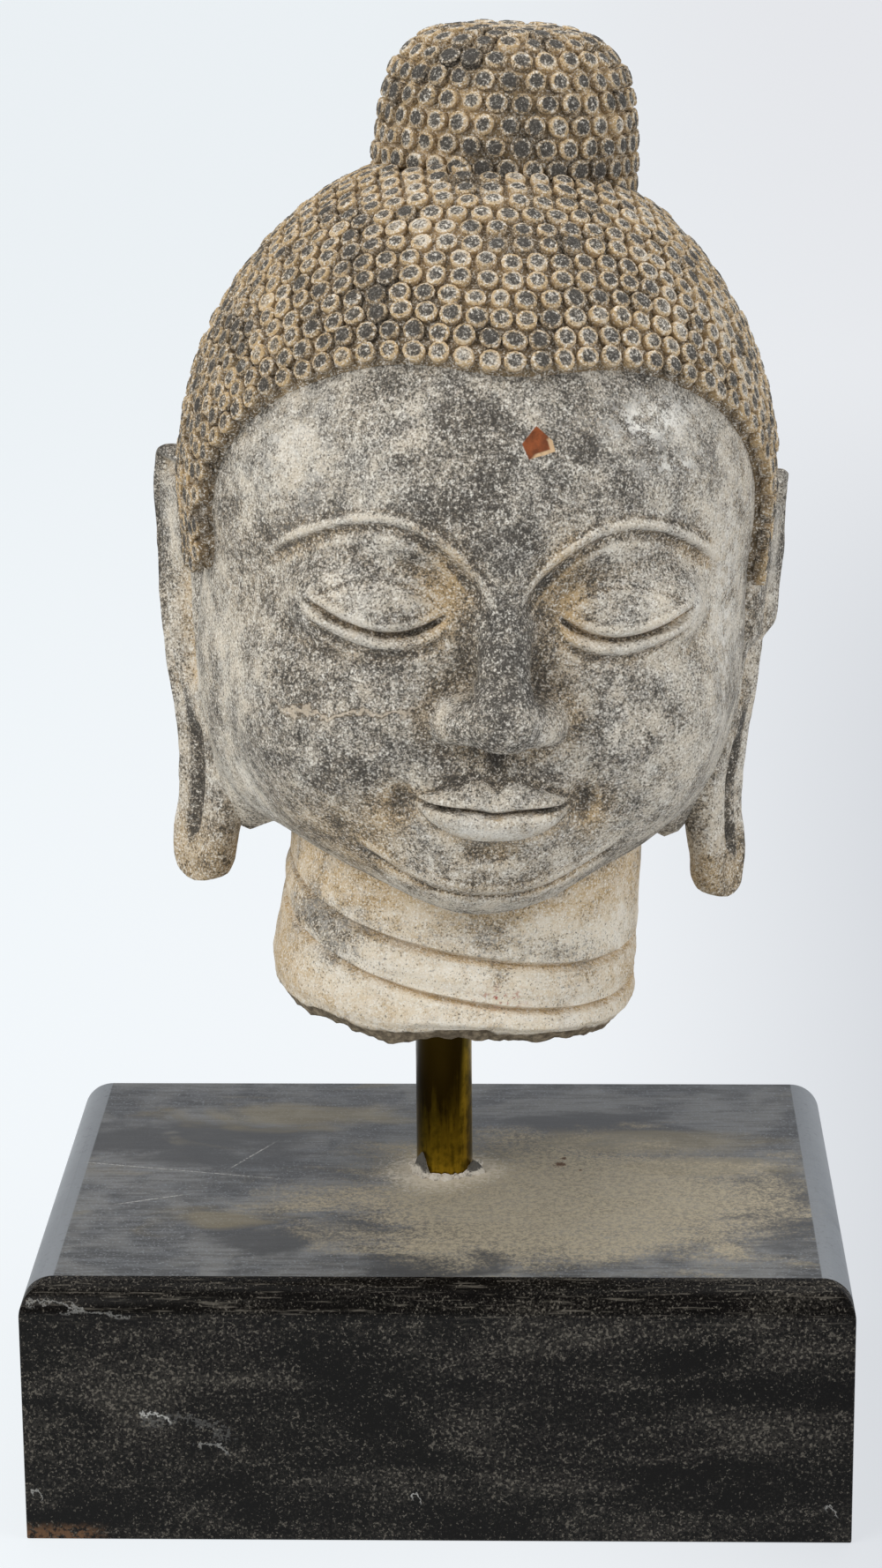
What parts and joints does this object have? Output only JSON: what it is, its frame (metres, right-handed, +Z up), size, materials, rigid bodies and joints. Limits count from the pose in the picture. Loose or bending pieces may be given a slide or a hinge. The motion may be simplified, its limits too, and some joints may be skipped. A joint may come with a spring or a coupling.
{
  "type": "carved stone head on a plinth",
  "caption": "Carved stone Buddha head with snail-curl hair, topknot and long ears, broken at the neck and raised on a brass rod above a black granite plinth with rounded top edges",
  "frame": {"origin": "centre of the plinth's underside", "axes": "+Z up along the rod, -Y out of the plinth's front, which the face looks towards, +X to the viewer's right"},
  "size_m": [0.356, 0.2941, 0.6313],
  "materials": {
    "granite": "black granite, honed on top and polished on the front, with fine grey speckle",
    "brass": "aged brass, browned in the middle, with fine upright wear",
    "plaster": "matt off-white setting plaster, crumbled",
    "carved_stone": "matt weathered limestone, pale ground under dark soot stipple with ochre soil in the recesses"
  },
  "bodies": {
    "root": {"granite_plinth": "granite", "brass_rod": "brass", "setting_plaster": "plaster", "stone_head": "carved_stone"}
  },
  "joints": []
}
